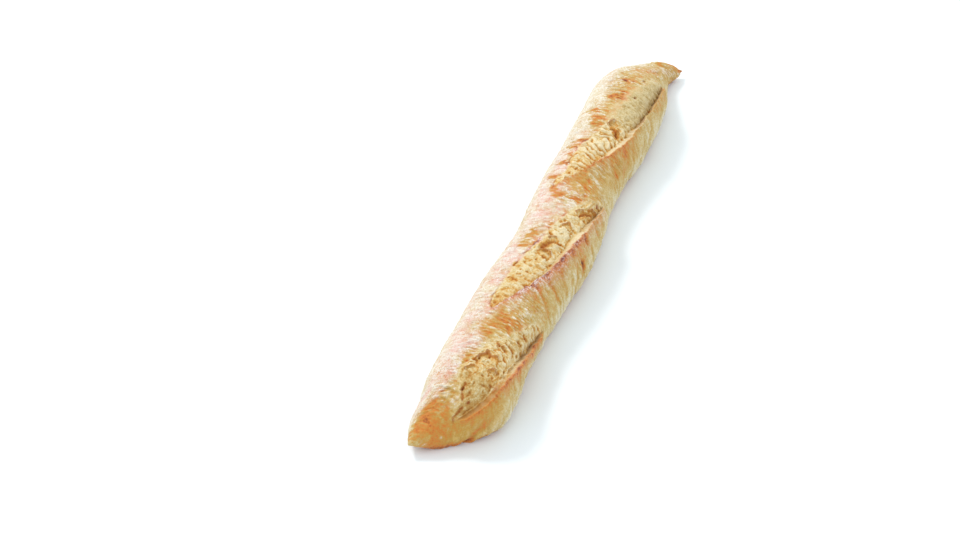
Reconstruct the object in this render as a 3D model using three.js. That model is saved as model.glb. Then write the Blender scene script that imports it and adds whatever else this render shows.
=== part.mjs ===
// A baguette baked as one piece: a long hearth loaf with a flat base, a domed top, two drawn-out
// tips that bend to opposite sides, and three slanting scores, each opened into a trough beside
// a raised lip.
// Millimetres, +Z up. +X runs along the loaf and +Y across it. The origin is at the centre of
// the loaf's bounding box in plan, on the surface that the base rests on.
import * as THREE from "three";

// Driving dimensions.
const LENGTH = 540; // from tip to tip
const HEIGHT_SHARE = 0.78; // total height over total width of a section
const WAIST_SHARE = 0.43; // height of the widest line over total height
const DOME_POWER = 2.1; // superellipse power of a section above its widest line
const BELLY_POWER = 2.6; // and below it
const BASE_CUT = 1.15; // how far the belly would reach below the base, over the waist's height
const TIP_HEIGHT = 12; // the middle of the thin tips stands this high
const TIP_LIFT = 0.9; // share of that height that a thin section is raised by
const TIP_RADIUS = 0.4; // half width of the first and last section

// Half width of the loaf at shares of its length.
const HALF_WIDTH = [
  [0, TIP_RADIUS], [0.015, 10.5], [0.04, 20.5], [0.08, 32.6], [0.12, 34.2], [0.2, 33.2],
  [0.35, 33.5], [0.5, 33], [0.65, 31.5], [0.8, 33.7], [0.87, 30.2], [0.92, 22.2], [0.96, 14],
  [0.985, 8.2], [1, TIP_RADIUS],
];

// Middle of the loaf in plan, towards +Y, at shares of its length.
const MIDDLE = [
  [0, 24], [0.03, 16], [0.07, 1.5], [0.12, -0.8], [0.2, 1.8], [0.32, 0], [0.45, -3.6],
  [0.6, 3], [0.75, 0], [0.85, 1.6], [0.92, 1], [0.97, -5.4], [1, -21],
];

// Each score is a trough between its left edge and its lip. Both are lists of [distance from the
// first tip, arc length from the top line towards -Y].
const SCORES = [
  {
    left: [[20, 16], [32, 8], [42, -4], [70, 1], [104, 19], [125, 28], [140, 38]],
    lip: [[20, 18], [38, 27], [72, 33], [109, 42], [140, 45]],
  },
  {
    left: [[122, -7], [134, -10], [181, -8], [209, -2], [235, 0], [260, 8], [296, 30]],
    lip: [[122, -4], [137, 4], [184, 19], [216, 22], [248, 27], [296, 37]],
  },
  {
    left: [[288, -16], [314, -10], [345, -10], [364, -3], [430, 13], [476, 27]],
    lip: [[288, -13], [305, 2], [329, 12], [361, 22], [395, 28], [440, 33], [476, 32]],
  },
];
const SCORE_DEPTH = 3; // deepest part of a trough below the smooth loaf
const LIP_RISE = 2.6; // crest of a lip above the smooth loaf
const LIP_FOOT = 11; // the lip's outer side fades over this arc length
const INNER_WALL = 0.3; // share of a trough's width that climbs to the lip
const SCORE_TAPER = 18; // a score starts and ends over this length

// Mesh density.
const ROWS = 118;
const COLUMNS = 40;
const TOP_CROWDING = 0.42; // from 0, even, to 1: how closely the columns gather at the top
const END_CROWDING = 0.6; // the same for the rows at the tips
const ROOM_COLUMNS = 1.6; // how many columns on each side share a move onto a lip

// A smooth curve through [x, y] points, with Catmull-Rom slopes.
function along(points, x) {
  const last = points.length - 1;
  const slope = (i) => {
    const a = points[Math.max(i - 1, 0)];
    const b = points[Math.min(i + 1, last)];
    return (b[1] - a[1]) / (b[0] - a[0]);
  };
  let i = 0;
  while (i < last - 1 && x >= points[i + 1][0]) i += 1;
  const [x0, y0] = points[i];
  const [x1, y1] = points[i + 1];
  const h = x1 - x0;
  const u = THREE.MathUtils.clamp((x - x0) / h, 0, 1);
  const start = y0 * (1 + 2 * u) * (1 - u) ** 2 + h * slope(i) * u * (1 - u) ** 2;
  const end = y1 * u * u * (3 - 2 * u) + h * slope(i + 1) * u * u * (u - 1);
  return start + end;
}

// Points of one smooth section as {side, up}, side positive towards +Y, at column numbers that
// run from the middle of the base up the +Y side, over the top and down the -Y side.
function smoothSection(share, columns) {
  const halfWidth = Math.max(along(HALF_WIDTH, share), TIP_RADIUS);
  const height = 2 * halfWidth * HEIGHT_SHARE;
  const waist = WAIST_SHARE * height;
  const lift = TIP_LIFT * Math.max(0, TIP_HEIGHT - height / 2);
  return columns.map((column) => {
    const even = (2 * Math.PI * column) / COLUMNS - Math.PI;
    const angle = even - TOP_CROWDING * Math.sin(even);
    const across = Math.sin(angle);
    const upward = Math.cos(angle);
    const power = 2 / (upward > 0 ? DOME_POWER : BELLY_POWER);
    const reach = upward > 0 ? height - waist : -waist * BASE_CUT;
    return {
      side: -halfWidth * Math.sign(across) * Math.abs(across) ** power,
      up: Math.max(waist + lift + reach * Math.abs(upward) ** power, 0),
    };
  });
}

// Arc length of each point of a section from its top point, positive towards -Y.
function arcLengths(section) {
  const top = COLUMNS / 2;
  const arcs = new Array(COLUMNS).fill(0);
  const gap = (a, b) => Math.hypot(a.side - b.side, a.up - b.up);
  for (let j = top + 1; j < COLUMNS; j += 1) {
    arcs[j] = arcs[j - 1] + gap(section[j], section[j - 1]);
  }
  for (let j = top - 1; j >= 0; j -= 1) {
    arcs[j] = arcs[j + 1] - gap(section[j], section[j + 1]);
  }
  return arcs;
}

// The column numbers with the nearest one moved onto the lip of each open score, so that the
// mesh has an edge along the crest. Its neighbours make room.
function columnsOnLips(distance, arcs) {
  const columns = arcs.map((_, j) => j);
  for (const { lip } of SCORES) {
    if (distance < lip[0][0] || distance > lip[lip.length - 1][0]) continue;
    const crest = along(lip, distance);
    const j = arcs.findIndex((arc, k) => arc <= crest && arcs[k + 1] > crest);
    const place = j + (crest - arcs[j]) / (arcs[j + 1] - arcs[j]);
    const nearest = Math.round(place);
    arcs.forEach((_, k) => {
      columns[k] += (place - nearest) * Math.exp(-(((k - nearest) / ROOM_COLUMNS) ** 2));
    });
  }
  return columns;
}

// How far one score moves the surface out (or in, below zero) at a distance from the first tip
// and an arc length.
function scoreOffset(score, distance, arc) {
  const from = score.lip[0][0];
  const to = score.lip[score.lip.length - 1][0];
  if (distance <= from || distance >= to) return 0;
  const ends = Math.min(distance - from, to - distance) / SCORE_TAPER;
  const opened = THREE.MathUtils.smoothstep(ends, 0, 1);
  const left = along(score.left, distance);
  const lip = along(score.lip, distance);
  if (arc >= lip) return opened * LIP_RISE * Math.exp(-(((arc - lip) / LIP_FOOT) ** 2));
  const u = (arc - left) / (lip - left);
  if (u <= 0) return 0;
  const trough = -SCORE_DEPTH * Math.sin((Math.PI * Math.min(u, 1)) / 2) ** 2;
  const climb = THREE.MathUtils.smoothstep(u, 1 - INNER_WALL, 1);
  return opened * THREE.MathUtils.lerp(trough, LIP_RISE, climb);
}

// One finished section: the smooth one with the scores' offsets along its outward normals.
function scoredSection(share) {
  const distance = share * LENGTH;
  const even = Array.from({ length: COLUMNS }, (_, j) => j);
  const columns = columnsOnLips(distance, arcLengths(smoothSection(share, even)));
  const smooth = smoothSection(share, columns);
  const arcs = arcLengths(smooth);
  return smooth.map((point, j) => {
    const offset = SCORES.reduce((sum, score) => sum + scoreOffset(score, distance, arcs[j]), 0);
    if (offset === 0) return point;
    const next = smooth[(j + 1) % COLUMNS];
    const before = smooth[(j + COLUMNS - 1) % COLUMNS];
    const run = Math.hypot(next.side - before.side, next.up - before.up);
    return {
      side: point.side + (offset * (next.up - before.up)) / run,
      up: point.up - (offset * (next.side - before.side)) / run,
    };
  });
}

// The corners of the whole surface, row by row from the first tip to the second.
function loafPositions() {
  const positions = [];
  for (let i = 0; i <= ROWS; i += 1) {
    const even = i / ROWS;
    const crowded = 0.5 - 0.5 * Math.cos(Math.PI * even);
    const share = THREE.MathUtils.lerp(even, crowded, END_CROWDING);
    const middle = along(MIDDLE, share);
    for (const { side, up } of scoredSection(share)) {
      positions.push(share * LENGTH, middle + side, up);
    }
  }
  return positions;
}

// Two triangles between neighbouring corners, split along the way that the lips slant, and a fan
// over each tip.
function loafIndex() {
  const index = [];
  const at = (i, j) => i * COLUMNS + (j % COLUMNS);
  for (let i = 0; i < ROWS; i += 1) {
    for (let j = 0; j < COLUMNS; j += 1) {
      index.push(at(i, j), at(i, j + 1), at(i + 1, j + 1));
      index.push(at(i, j), at(i + 1, j + 1), at(i + 1, j));
    }
  }
  for (let j = 1; j < COLUMNS - 1; j += 1) {
    index.push(at(0, 0), at(0, j + 1), at(0, j));
    index.push(at(ROWS, 0), at(ROWS, j), at(ROWS, j + 1));
  }
  return index;
}

function loafGeometry() {
  const geometry = new THREE.BufferGeometry();
  geometry.setAttribute("position", new THREE.Float32BufferAttribute(loafPositions(), 3));
  geometry.setIndex(loafIndex());
  geometry.computeBoundingBox();
  const centre = geometry.boundingBox.getCenter(new THREE.Vector3());
  geometry.translate(-centre.x, -centre.y, 0);
  geometry.computeVertexNormals();
  return geometry;
}

const crust = new THREE.MeshStandardMaterial({
  color: new THREE.Color(0.68, 0.47, 0.24),
  roughness: 0.72,
  metalness: 0,
});

const loaf = new THREE.Mesh(loafGeometry(), crust);
loaf.name = "loaf";

const baguette = new THREE.Group();
baguette.add(loaf);

export default baguette;
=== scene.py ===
"""A baguette baked as one piece, with a floury crust and three opened scores, on a white floor.

The CAD loaf gives the place and the smooth body. This script builds the same body as a fine mesh, moves
its points for the scores, lips, bubbles and wrinkles, and stores masks that the material reads.
Loaf sizes are in millimetres, as x, the distance from the first tip, and t, the arc length from the top
line of the loaf towards -Y. They become metres when the mesh is made.
"""
import itertools
import math
from types import SimpleNamespace

import bpy
import numpy as np
from mathutils import Matrix, Vector


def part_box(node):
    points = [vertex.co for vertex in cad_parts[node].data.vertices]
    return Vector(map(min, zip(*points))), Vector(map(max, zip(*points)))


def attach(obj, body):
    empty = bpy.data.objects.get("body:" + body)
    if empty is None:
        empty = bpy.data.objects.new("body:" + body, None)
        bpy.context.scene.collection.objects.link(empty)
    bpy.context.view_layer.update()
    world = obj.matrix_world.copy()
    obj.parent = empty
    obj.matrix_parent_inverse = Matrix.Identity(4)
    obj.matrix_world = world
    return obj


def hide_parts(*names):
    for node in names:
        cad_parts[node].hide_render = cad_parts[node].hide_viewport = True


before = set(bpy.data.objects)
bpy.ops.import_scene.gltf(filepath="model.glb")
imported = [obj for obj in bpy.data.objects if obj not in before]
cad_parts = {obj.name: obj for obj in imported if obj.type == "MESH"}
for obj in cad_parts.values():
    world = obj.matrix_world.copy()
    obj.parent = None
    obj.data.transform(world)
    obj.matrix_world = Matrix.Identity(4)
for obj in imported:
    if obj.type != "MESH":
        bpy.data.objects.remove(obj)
MM = 0.001

# ---------------- shape of the body
HEIGHT_SHARE = 0.78  # total height over total width of a section
WAIST_SHARE = 0.43  # height of the widest line over total height
DOME_POWER = 2.1  # superellipse power of a section above its widest line
BELLY_POWER = 2.6  # and below it
BASE_CUT = 1.15  # how far the belly would reach below the base, over the waist's height
TIP_HEIGHT = 12.0  # the middle of the thin tips stands this high
TIP_LIFT = 0.9  # share of that height that a thin section is raised by
TIP_RADIUS = 0.4  # half width of the first and last section
SECTION_POINTS = 721

HALF_WIDTH = [
    (0, TIP_RADIUS), (0.015, 10.5), (0.04, 20.5), (0.08, 32.6), (0.12, 34.2), (0.2, 33.2), (0.35, 33.5),
    (0.5, 33), (0.65, 31.5), (0.8, 33.7), (0.87, 30.2), (0.92, 22.2), (0.96, 14), (0.985, 8.2),
    (1, TIP_RADIUS),
]
# How far the middle of a section lies towards +Y. Both lists give (share of the length, mm).
MIDDLE = [
    (0, 24), (0.03, 16), (0.07, 1.5), (0.12, -0.8), (0.2, 1.8), (0.32, 0), (0.45, -3.6), (0.6, 3),
    (0.75, 0), (0.85, 1.6), (0.92, 1), (0.97, -5.4), (1, -21),
]

# ---------------- the scores
# "left" and "lip" are the left edge and the lip, as points (x, t). "taper" is the length over which the
# score starts and ends, "rosy" is how pink its crest is, and "fade" is how far down the outer side, in mm,
# the crest's browning reaches. The rest are rows of (x, value), level beyond their ends:
#   overhang  how far the lip leans back over the trough
#   ribs      how fibrous the torn dough is, from 0, lumpy, to 1
#   dull      how fine and greyish the torn dough is
#   toast     how brown the crest is
#   wall      how wide the lip's inner wall is, in mm
#   ochre     how golden that wall is
#   depth     how deep the trough is at the foot of the wall, in mm
#   tan       how toasted the crumb is
#   smooth    how calm the lumps are
SCORES = [
    {
        "taper": (7, 16),
        "rosy": 0.3,
        "fade": 5,
        "left": [(20, 16), (32, 8), (42, -4), (70, 1), (104, 19), (125, 28), (140, 38)],
        "lip": [(20, 18), (38, 27), (72, 33), (109, 42), (140, 45)],
        "overhang": [(85, 0), (98, 0.7), (140, 1)],
        "ribs": [(20, 0), (66, 0.1), (84, 0.6), (112, 0.6), (140, 0.3)],
        "dull": [(20, 0.6), (46, 0.5), (56, 0.1), (84, 0.1), (96, 0.3)],
        "toast": [(20, 0.8), (45, 1), (70, 1.35), (100, 1.2), (140, 0.8)],
        "wall": [(20, 2), (32, 3.6), (50, 4), (64, 2.8), (100, 2.5), (140, 2)],
        "ochre": [(20, 1), (45, 0.9), (60, 0.4), (90, 0.2), (140, 0.5)],
        "depth": [(20, 1.2), (40, 2.8), (85, 2.8), (110, 3.4), (140, 1.5)],
        "tan": [(20, 0.6), (50, 0.5), (66, 0.35), (90, 0.15), (140, 0.2)],
        "smooth": [(20, 0.45), (50, 0.4), (62, 0.1), (140, 0)],
    },
    {
        "taper": (12, 14),
        "rosy": 1,
        "fade": 5.5,
        "left": [(122, -7), (134, -10), (181, -8), (209, -2), (235, 0), (260, 8), (296, 30)],
        "lip": [(122, -4), (137, 4), (184, 19), (216, 22), (248, 27), (296, 37)],
        "overhang": [(122, 0.1), (240, 0), (262, 0.6), (296, 1)],
        "ribs": [(122, 0.2), (180, 0.15), (230, 0.25), (262, 0.5), (296, 0.4)],
        "dull": [(122, 0.2), (150, 0.1), (262, 0.1), (296, 0.3)],
        "toast": [(122, 0.7), (150, 0.95), (200, 0.95), (228, 0.7), (248, 0.4), (296, 0.3)],
        "wall": [(122, 1.5), (180, 2), (208, 3), (235, 5), (270, 3), (296, 2)],
        "ochre": [(122, 1), (150, 0.5), (200, 0.3), (235, 0.1)],
        "depth": [(122, 0.8), (150, 1.8), (200, 2.2), (240, 2.6), (275, 3.6), (296, 2)],
        "tan": [(122, 0.45), (145, 0.35), (175, 0.15), (240, 0.1), (296, 0.3)],
        "smooth": [(122, 0.4), (150, 0.45), (188, 0.45), (204, 0)],
    },
    {
        "taper": (12, 14),
        "rosy": 0.25,
        "fade": 7,
        "left": [(288, -16), (314, -10), (345, -8), (364, -2), (400, 2), (430, 8), (476, 26)],
        "lip": [(288, -13), (305, 2), (329, 12), (361, 22), (395, 28), (440, 33), (476, 32)],
        "overhang": [(288, 0.1), (365, 0), (392, 0.5), (415, 1)],
        "ribs": [(288, 0.1), (318, 0.35), (332, 0.95), (378, 1), (392, 0.3), (476, 0.2)],
        "dull": [(382, 0), (398, 0.85), (476, 1)],
        "toast": [(288, 0.7), (310, 1), (340, 1.1), (362, 0.8), (390, 0.3), (476, 0.4)],
        "wall": [(288, 1.5), (325, 2), (350, 4.5), (390, 5), (415, 2.5), (476, 2)],
        "ochre": [(288, 0.8), (325, 0.5), (350, 0.1), (400, 0.1), (476, 0.5)],
        "depth": [(288, 0.8), (315, 2.2), (380, 3), (420, 3.4), (460, 4), (476, 2)],
        "tan": [(288, 0.4), (320, 0.5), (350, 0)],
        "smooth": [(288, 0.2), (330, 0), (390, 0.1), (402, 0.5)],
    },
]
CREST_RISE = 3.6  # crest of a lip over the smooth body
LIP_FOOT = 9.0  # the lip's outer side fades over this arc length
MIN_OPENING = 1.5  # least width between left edge and lip
RIB_HEIGHT = 1.5  # relief of the torn strands
LUMP_HEIGHT = 1.5  # relief of the torn lumps where nothing calms them
RIB_SPACING = 5.6
UNDERCUT = 1.9  # how far the wall under a full overhang moves towards +t
OVERHANG = 2.6  # how far the crest of a full overhang moves back over the trough
BEAK_AT = 527.0  # the far tip's beak is thicker here
BEAK_SWELL = 1.5
BEAK_REACH = 9.0

# Burst bubbles in the crumb: x, t, radius, depth, and the direction of the browned side in degrees from +x
# towards +t.
BUBBLES = [
    (65, 11, 8, 2.2, -40), (51, 4, 4.5, 2, -50), (56, 21, 5, 1.2, -20), (45, 24, 3.2, 1.6, 40),
    (83, 17, 4, 1.2, -30), (200, 8, 5.5, 2.6, 0), (219, 7, 4.6, 3, -40), (240, 12, 4.5, 1.4, -40),
    (262, 17, 4.6, 2.2, -40), (272, 27, 4.6, 3, -20), (384, 7, 4.6, 3, -60), (375, 14, 4, 3.2, -30),
]
# Small clean holes, darkened inside with painted shade: x, t, radius, depth.
HOLES = [
    (427, 13, 1.3, 2.4), (455, 13, 1.5, 2.4), (286, 29, 2.2, 2), (36, 5, 1.4, 1.6), (31, 15, 1.3, 1.4),
]
# Lines in the surface: kind, half width, height, points (x, t). A ridge is a standing membrane of dough,
# with painted shade along its foot; a tear is a browned slit, with painted shade in and around it; and a
# fold is a shallow crease in the crust, darker and pinker along it.
LINES = [
    ("tear", 1.1, -1.2, [(19, 18), (22, 14), (26, 14), (29, 15)]),
    ("tear", 0.9, -0.9, [(29, 12), (33, 8), (38, 4), (42, 5)]),
    ("ridge", 0.9, 1.3, [(60, 3), (67, 2), (73, 5), (76, 11), (73, 17), (66, 23)]),
    ("ridge", 0.9, 1.1, [(63, 7), (66, 12), (64, 18), (59, 24)]),
    ("ridge", 0.8, 0.9, [(47, 0), (52, -2), (57, 1), (57, 7)]),
    ("ridge", 0.8, 0.9, [(47, 10), (54, 12), (60, 14), (60, 20), (56, 23)]),
    ("ridge", 0.9, 1.4, [(37, 23), (46, 26), (59, 28), (73, 29), (88, 33)]),
    ("ridge", 0.9, 0.9, [(84, 8), (88, 14), (88, 20), (85, 28)]),
    ("tear", 0.8, -1, [(86, 11), (85, 15)]),
    ("tear", 0.9, -1.6, [(91, 20), (91, 24), (89, 28)]),
    ("ridge", 1, 1, [(98, 17), (99, 24), (96, 33)]),
    ("tear", 1, -1.8, [(103, 25), (102, 32)]),
    ("tear", 1, -1.6, [(113, 27), (111, 35)]),
    ("tear", 0.8, -1, [(121, 1), (124, -5), (130, -9), (139, -11), (150, -10)]),
    (
        "fold", 1, -0.6,
        [(152, -9), (165, -9), (177, -8), (186, -7), (196, -6), (209, -4), (222, -2), (236, 0)],
    ),
    ("tear", 0.9, -1, [(176, -9), (181, -8), (184, -8)]),
    ("tear", 0.9, -1, [(193, -8), (197, -6), (200, -5)]),
    ("tear", 0.5, -0.6, [(168, -3), (169, 2)]),
    ("tear", 0.5, -0.5, [(162, -8), (163, -3)]),
    ("ridge", 1.1, 1.4, [(199, -1), (207, 1), (215, 3), (224, 7)]),
    ("tear", 1.5, -1.8, [(203, 2), (209, 4), (214, 6), (222, 10)]),
    ("tear", 1.2, -1.4, [(197, 7), (196, 11)]),
    ("ridge", 1, 1.2, [(262, 12), (268, 17), (276, 21), (284, 22), (289, 27)]),
    ("tear", 1, -1.4, [(259, 16), (266, 21), (272, 29)]),
    ("fold", 0.9, -0.5, [(240, 1), (250, 4), (258, 6)]),
    ("tear", 0.9, -0.9, [(287, -13), (292, -15), (300, -15)]),
    ("tear", 0.7, -0.7, [(317, -11), (325, -10), (334, -8)]),
    ("fold", 1, -0.5, [(335, -9), (350, -9), (359, -6)]),
    ("ridge", 1, 1.3, [(380, 2), (387, 3), (391, 9), (389, 16)]),
    ("tear", 1.1, -1.6, [(379, 7), (378, 12), (373, 18)]),
]
# Dents in the flank under a lip: x, t, half length along t, half width, depth.
DENTS = [
    (239, 30, 4.5, 2.4, 2.4), (221, 43, 7, 3, 1.6), (209, 47, 9, 2.2, 1.3), (190, 30, 8, 2, 1.1),
    (174, 28, 10, 2, 1.2), (259, 37, 7, 2.4, 1.2), (158, 26, 9, 2, 1), (362, 33, 8, 2.2, 0.8),
    (410, 42, 9, 2.4, 0.9), (338, 30, 8, 2, 0.7), (96, 52, 9, 2.4, 0.8), (60, 46, 9, 2.6, 0.8),
]
# Browned patches: x, t, half length along x, half length along t, strength.
BLOTCHES = [
    (9, -3, 7, 7, 0.22), (16, 4, 9, 9, 0.24), (12, 14, 6, 7, 0.14), (22, -6, 8, 5, 0.12),
    (30, 41, 4, 4, 0.24), (221, 43, 4, 6, 0.36), (447, 1, 2.8, 6, 0.56), (421, -2, 3, 8, 0.44),
    (428, 3, 2.4, 5, 0.26), (389, -8, 3, 7, 0.42), (381, -7, 2.8, 6, 0.4), (357, -9, 2.6, 7, 0.4),
    (348, -13, 2.4, 7, 0.34), (335, -10, 2.4, 6, 0.4), (323, -12, 2.6, 7, 0.44), (303, -17, 2.6, 7, 0.36),
    (400, -14, 2.4, 8, 0.3), (362, 29, 4, 4, 0.2), (337, 32, 3, 4, 0.16), (236, -1, 3.5, 2.6, 0.36),
    (209, -12, 5, 5, 0.26), (222, -12, 6, 5, 0.2), (277, -7, 3.5, 5, 0.26), (277, 9, 3, 4, 0.3),
    (286, -13, 4, 3, 0.3), (113, 10, 11, 9, 0.18), (100, 2, 9, 7, 0.12), (118, 22, 7, 7, 0.18),
    (60, -3, 12, 4, 0.14), (534, 0, 8, 7, 0.3), (524, -1, 9, 4, 0.18), (300, 13, 8, 5, 0.1),
    (463, 30, 4, 1.6, 0.4),
]
# Golden, flourless stretches: x, t, half length along x, half length along t, strength.
GOLDEN = [
    (22, 32, 26, 28, 0.9), (32, 0, 12, 6, 0.7), (12, 12, 10, 18, 0.8), (506, 16, 20, 13, 0.5),
    (297, 8, 14, 9, 0.6), (298, 24, 14, 10, 0.5), (335, 28, 26, 12, 0.6), (368, 36, 20, 10, 0.5),
    (150, 24, 16, 8, 0.3),
]
# Layers of noise in the crust: height, length along x, length along t, share of the warp, seed.
WRINKLES = [
    (0.7, 3.1, 10, 1, 404), (0.9, 1.6, 6, 1, 405), (0.5, 6.5, 15, 0.5, 406), (0.6, 1.1, 3.4, 1, 411),
]
STRIATIONS = [(1, 3.4, 26, 0.7, 408), (0.9, 1.6, 16, 1, 409)]
# The tips, in mm: how much of each end is bent, and how far its last point moves.
NEAR_TIP = 12.0
NEAR_PULL = (-1.5, 2.2, 0.0)
FAR_TIP = 22.0
FAR_PULL = (0.0, -1.5, -4.0)
CALM_END = 4.0  # the relief fades out over this last stretch

# ---------------- mesh density
ROWS = 1240
COLUMNS = 372
END_CROWDING = 0.35
TOP_SPAN = (-0.3, 0.52)  # shares of the half girth between which the columns are close
TOP_DENSITY = 2.4
TOP_BLEND = 0.12  # half the share over which the density changes
MAP_MARGIN = 0.006
CAP_SIZE = 0.003
# Point attributes that the material reads, each from 0 to 1.
MASKS = ("bake_and_shade", "rose", "gold", "flour", "crumb", "dull", "valley_toast_and_shade", "wall", "painted_crevice_shade", "scorch_and_shade")

LATTICE = 32  # the noise repeats after this many cells, a power of two
NOISE_GAIN = 1.7  # brings the noise to about -1 to 1
CELL_SHIFT = (5, 11)  # cells that one step of the seed moves the pattern by
INDEX_SHIFT = 977
rng = np.random.default_rng(7)
SLOPES = rng.normal(size=(3, LATTICE ** 3)).astype(np.float32)
SLOPES /= np.linalg.norm(SLOPES, axis=0)
JITTER = rng.random((3, LATTICE ** 2)).astype(np.float32)


# ---------------- curves and noise
def along(points, x):
    """A smooth curve through (x, y) points, with Catmull-Rom slopes."""
    px, py = np.array(points, float).T
    slope = np.gradient(py)
    slope[1:-1] = (py[2:] - py[:-2]) / (px[2:] - px[:-2])
    slope[0] = (py[1] - py[0]) / (px[1] - px[0])
    slope[-1] = (py[-1] - py[-2]) / (px[-1] - px[-2])
    i = np.clip(np.searchsorted(px, x, side="right") - 1, 0, len(px) - 2)
    h = px[i + 1] - px[i]
    u = np.clip((x - px[i]) / h, 0, 1)
    start = py[i] * (1 + 2 * u) * (1 - u) ** 2 + h * slope[i] * u * (1 - u) ** 2
    end = py[i + 1] * u * u * (3 - 2 * u) + h * slope[i + 1] * u * u * (u - 1)
    return start + end


def smoothstep(low, high, x):
    u = np.clip((x - low) / (high - low), 0, 1)
    return u * u * (3 - 2 * u)


def noise(*axes, seed=0):
    """Gradient noise in one to three dimensions, about -1 to 1, with features one unit apart."""
    cells_at = []
    offsets = []
    for axis in np.broadcast_arrays(*axes):
        cell = np.floor(axis)
        cells_at.append(cell.astype(np.int32))
        offsets.append((axis - cell).astype(np.float32))
    fades = [offset ** 3 * (offset * (offset * 6 - 15) + 10) for offset in offsets]
    total = 0.0
    for corner in itertools.product((0, 1), repeat=len(axes)):
        index = 0
        weight = 1.0
        for cell, fade, bit in zip(cells_at, fades, corner):
            index = index * LATTICE + ((cell + bit + CELL_SHIFT[0] * seed) & (LATTICE - 1))
            weight = weight * (fade if bit else 1 - fade)
        index = (index + INDEX_SHIFT * seed) & (LATTICE ** 3 - 1)
        rise = 0.0
        for slopes, offset, bit in zip(SLOPES, offsets, corner):
            rise = rise + slopes[index] * (offset - bit)
        total = total + weight * rise
    return total * NOISE_GAIN


def fractal(*axes, seed=0, octaves=3):
    """Noise with finer layers on it, each half as long and half as high as the last, about -1 to 1."""
    total = 0.0
    size = 1.0
    for octave in range(octaves):
        total = total + noise(*(axis / size for axis in axes), seed=seed + octave) * size
        size /= 2
    return total / (2 - 2 * size)


def wobbled(value, axes, seed, *waves):
    """The value with noise over the axes added, one layer for each wave, given as height and length."""
    for number, (height, length) in enumerate(waves):
        value = value + height * noise(*(axis / length for axis in axes), seed=seed + number)
    return value


def cells(x, y, seed=0):
    """Distances to the two nearest jittered points, one per unit cell, and a number, 0 to 1, per cell."""
    home_x = np.floor(x).astype(np.int32)
    home_y = np.floor(y).astype(np.int32)
    nearest = np.full(x.shape, 9.0, np.float32)
    second = nearest.copy()
    number = np.zeros(x.shape, np.float32)
    for step_x, step_y in itertools.product((-1, 0, 1), repeat=2):
        cell_x = home_x + step_x
        cell_y = home_y + step_y
        column = (cell_x + CELL_SHIFT[0] * seed) & (LATTICE - 1)
        line = (cell_y + CELL_SHIFT[1] * seed) & (LATTICE - 1)
        index = column * LATTICE + line
        distance = np.hypot(cell_x + JITTER[0][index] - x, cell_y + JITTER[1][index] - y)
        closer = distance < nearest
        second = np.where(closer, nearest, np.minimum(second, distance))
        nearest = np.where(closer, distance, nearest)
        number = np.where(closer, JITTER[2][index], number)
    return nearest, second, number


# ---------------- the smooth body
def section(share):
    """Dense points (side, up) of smooth sections, one row per share, from base over the top to base."""
    angle = np.linspace(-math.pi, math.pi, SECTION_POINTS)[None]
    half_width = np.maximum(along(HALF_WIDTH, share), TIP_RADIUS)[:, None]
    height = 2 * half_width * HEIGHT_SHARE
    waist = WAIST_SHARE * height
    lift = TIP_LIFT * np.maximum(0, TIP_HEIGHT - height / 2)
    across = np.sin(angle)
    upward = np.cos(angle)
    power = 2 / np.where(upward > 0, DOME_POWER, BELLY_POWER)
    reach = np.where(upward > 0, height - waist, -waist * BASE_CUT)
    side = -half_width * np.sign(across) * np.abs(across) ** power
    up = np.maximum(waist + lift + reach * np.abs(upward) ** power, 0)
    return side, up


def column_shares():
    """Places of the columns around the loaf, from -1 to 1 over the top, close together on the top."""
    fine = np.linspace(-1, 1, 4001)
    density = 1 + (TOP_DENSITY - 1) * smoothstep(-TOP_BLEND, TOP_BLEND, fine - TOP_SPAN[0])
    density -= (TOP_DENSITY - 1) * smoothstep(-TOP_BLEND, TOP_BLEND, fine - TOP_SPAN[1])
    number = np.concatenate([[0], np.cumsum(density[:-1])])
    return np.interp(np.arange(COLUMNS) / COLUMNS, number / number[-1], fine)


def smooth_body(length):
    """Grid of the smooth body: places, x, t and half the girth of the section."""
    even = np.linspace(0, 1, ROWS)
    crowded = 0.5 - 0.5 * np.cos(math.pi * even)
    share = even * (1 - END_CROWDING) + crowded * END_CROWDING
    side, up = section(share)
    step = np.hypot(np.diff(side, axis=1), np.diff(up, axis=1))
    arc = np.concatenate([np.zeros((ROWS, 1)), np.cumsum(step, axis=1)], axis=1)
    girth = arc[:, -1:] / 2
    arc -= girth
    t = girth * column_shares()[None]
    place = np.empty((ROWS, COLUMNS, 3))
    place[..., 0] = (share * length)[:, None]
    for i in range(ROWS):
        place[i, :, 1] = np.interp(t[i], arc[i], side[i])
        place[i, :, 2] = np.interp(t[i], arc[i], up[i])
    place[..., 1] += along(MIDDLE, share)[:, None]
    return place, place[..., 0].copy(), t, girth + np.zeros_like(t)


def directions(place):
    """Unit outward normals of the grid, and unit directions of increasing t."""
    by_row = np.gradient(place, axis=0)
    by_column = np.roll(place, -1, axis=1) - np.roll(place, 1, axis=1)
    normal = np.cross(by_column, by_row)
    normal /= np.maximum(np.linalg.norm(normal, axis=-1, keepdims=True), 1e-9)
    tangent = by_column / np.maximum(np.linalg.norm(by_column, axis=-1, keepdims=True), 1e-9)
    return normal, tangent


# ---------------- relief and masks
def stretch(grid, low, high):
    """Views of the grid's rows whose x lies from low to high."""
    first, last = np.searchsorted(grid["x"][:, 0], (low, high))
    return {name: values[first:last] for name, values in grid.items()}


def raise_to(part, name, value):
    np.maximum(part[name], value, out=part[name])


def blob(x, t, centre_x, centre_t, half_x, half_t):
    return np.exp(-((x - centre_x) / half_x) ** 2 - ((t - centre_t) / half_t) ** 2)


def ridged(*axes, seed):
    """Noise with sharp crests along wandering lines: 1 on a crest, about -1 far from one."""
    return 1 - 2.6 * np.abs(noise(*axes, seed=seed))


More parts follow.
